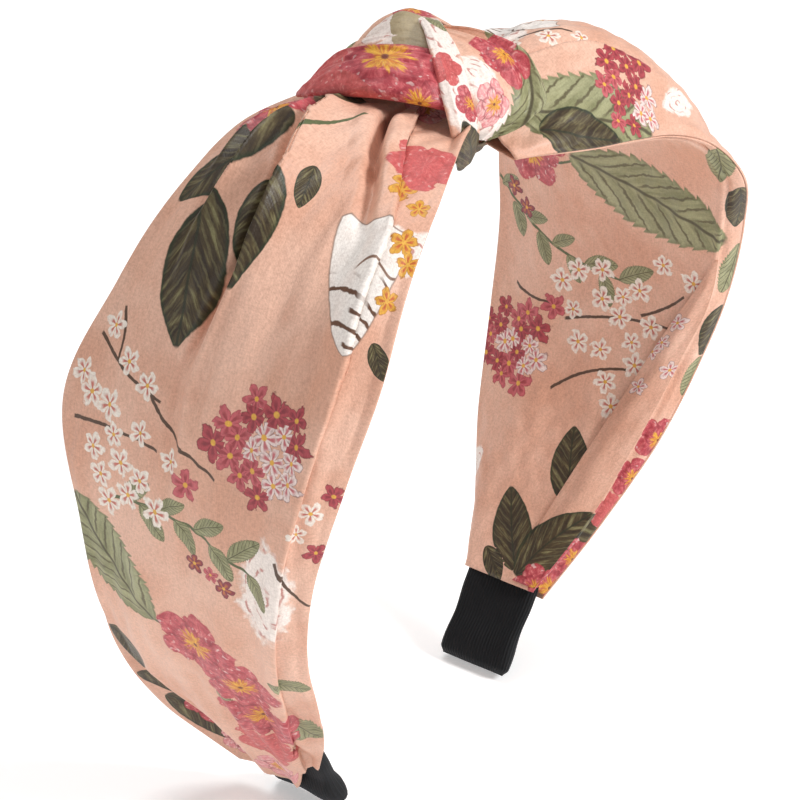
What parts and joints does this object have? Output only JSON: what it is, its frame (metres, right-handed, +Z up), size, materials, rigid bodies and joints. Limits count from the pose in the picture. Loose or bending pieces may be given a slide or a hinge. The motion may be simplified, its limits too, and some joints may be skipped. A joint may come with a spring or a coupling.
{
  "type": "knotted headband",
  "caption": "Wide arched fabric headband with a twisted knot at the crown, folded satin sides over a springy core, and ribbed ribbon tips.",
  "frame": {"origin": "centre of the base, on the plane the two tips stand on", "axes": "+Z up from the tips to the crown, X from ear to ear with the gathered limb at -X, Y across the band's width with the front edge at -Y"},
  "size_m": [0.1589, 0.0714, 0.1701],
  "materials": {
    "core": "smooth moulded strip",
    "print_satin": "satin weave with a printed floral pattern",
    "lining": "same satin, inner ply",
    "ribbon": "ribbed grosgrain"
  },
  "bodies": {
    "crown": {"core_crown": "core", "crown_gather": "print_satin", "crown_right_panel": "print_satin", "crown_lining": "lining", "knot_core_roll": "print_satin", "knot_front_wrap": "print_satin", "knot_cross_wrap": "print_satin", "knot_top_lobe": "print_satin", "knot_fan_lobe": "print_satin", "knot_under_wrap": "print_satin", "knot_tail": "print_satin"},
    "left_arm": {"left_core": "core", "left_tip_sleeve": "ribbon", "left_outer_panel": "print_satin", "left_front_strip": "print_satin", "left_lining": "lining", "left_back_fold": "lining"},
    "right_arm": {"right_core": "core", "right_tip_sleeve": "ribbon", "right_outer_panel": "print_satin", "right_edge_strip": "print_satin", "right_lining": "lining", "right_inner_fold": "lining"}
  },
  "joints": [
    {"name": "left_flex", "type": "hinge", "parent": "crown", "child": "left_arm", "pos_m": [-0.03172, 0.0026, 0.16146], "axis": [0, 1, 0], "range_deg": [0, 8], "stiffness_Nm_per_rad": 2.1},
    {"name": "right_flex", "type": "hinge", "parent": "crown", "child": "right_arm", "pos_m": [0.03252, 0.0026, 0.16146], "axis": [0, -1, 0], "range_deg": [0, 8], "stiffness_Nm_per_rad": 2.1}
  ],
  "couplings": [
    {"joint": "right_flex", "follows": "left_flex", "ratio": 1}
  ]
}
